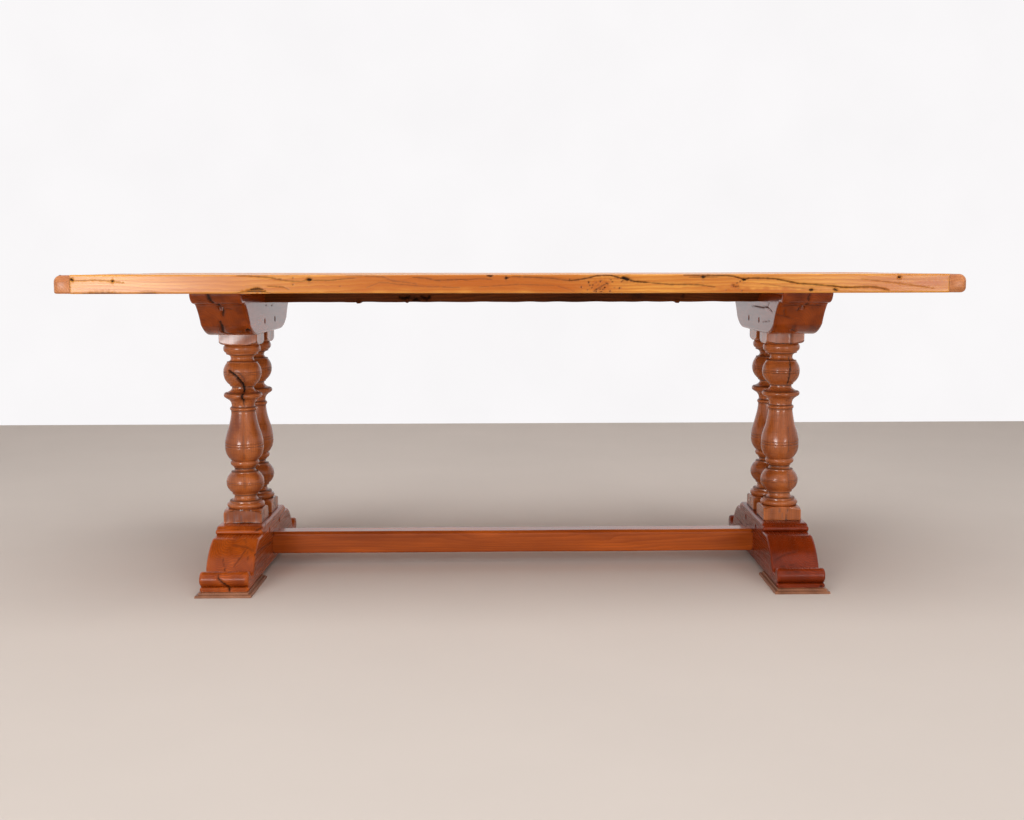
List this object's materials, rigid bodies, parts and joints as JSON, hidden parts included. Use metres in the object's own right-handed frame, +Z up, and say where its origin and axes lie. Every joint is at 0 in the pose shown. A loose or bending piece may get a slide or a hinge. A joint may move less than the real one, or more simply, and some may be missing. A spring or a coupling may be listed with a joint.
{
  "type": "trestle dining table",
  "caption": "Long rustic wooden dining table: a thick boarded top with breadboard ends on trestles of turned balusters between shaped bolsters and sledge feet, joined by a low stretcher.",
  "frame": {"origin": "middle of the table's footprint, at floor level", "axes": "+X along the table, +Y across it and away from the front, +Z up"},
  "size_m": [2.055, 0.9, 0.762],
  "materials": {
    "top_wood": "worn honey-brown boards with dark cracks and knots under a satin wax",
    "trestle_wood": "dark red-brown stained wood, satin wax",
    "turned_wood": "orange-brown turned wood, satin wax",
    "stretcher_wood": "red-brown wood, worn pale on the top, satin wax",
    "rail_wood": "very dark rough-sawn wood",
    "pad_wood": "worn brown wood",
    "peg_wood": "dark plain wood",
    "screw_steel": "dull steel"
  },
  "bodies": {
    "root": {"top_board_front": "top_wood", "top_board_mid_front": "top_wood", "top_board_middle": "top_wood", "top_board_mid_rear": "top_wood", "top_board_rear": "top_wood", "board_spline_1": "peg_wood", "board_spline_2": "peg_wood", "board_spline_3": "peg_wood", "board_spline_4": "peg_wood", "breadboard_left": "top_wood", "breadboard_right": "top_wood", "breadboard_pegs_left": "peg_wood", "breadboard_pegs_right": "peg_wood", "bolster_left": "trestle_wood", "bolster_right": "trestle_wood", "top_screws_left": "screw_steel", "top_screws_right": "screw_steel", "top_rail": "rail_wood", "rail_dowels": "peg_wood", "baluster_left_front": "turned_wood", "baluster_left_rear": "turned_wood", "baluster_right_front": "turned_wood", "baluster_right_rear": "turned_wood", "bolster_pegs_left": "peg_wood", "bolster_pegs_right": "peg_wood", "foot_pegs_left": "peg_wood", "foot_pegs_right": "peg_wood", "foot_left": "trestle_wood", "foot_right": "trestle_wood", "foot_pad_left_front": "pad_wood", "foot_pad_left_rear": "pad_wood", "foot_pad_right_front": "pad_wood", "foot_pad_right_rear": "pad_wood", "pad_screws_left": "screw_steel", "pad_screws_right": "screw_steel", "stretcher": "stretcher_wood", "stretcher_wedges_left": "peg_wood", "stretcher_wedges_right": "peg_wood"}
  },
  "joints": []
}
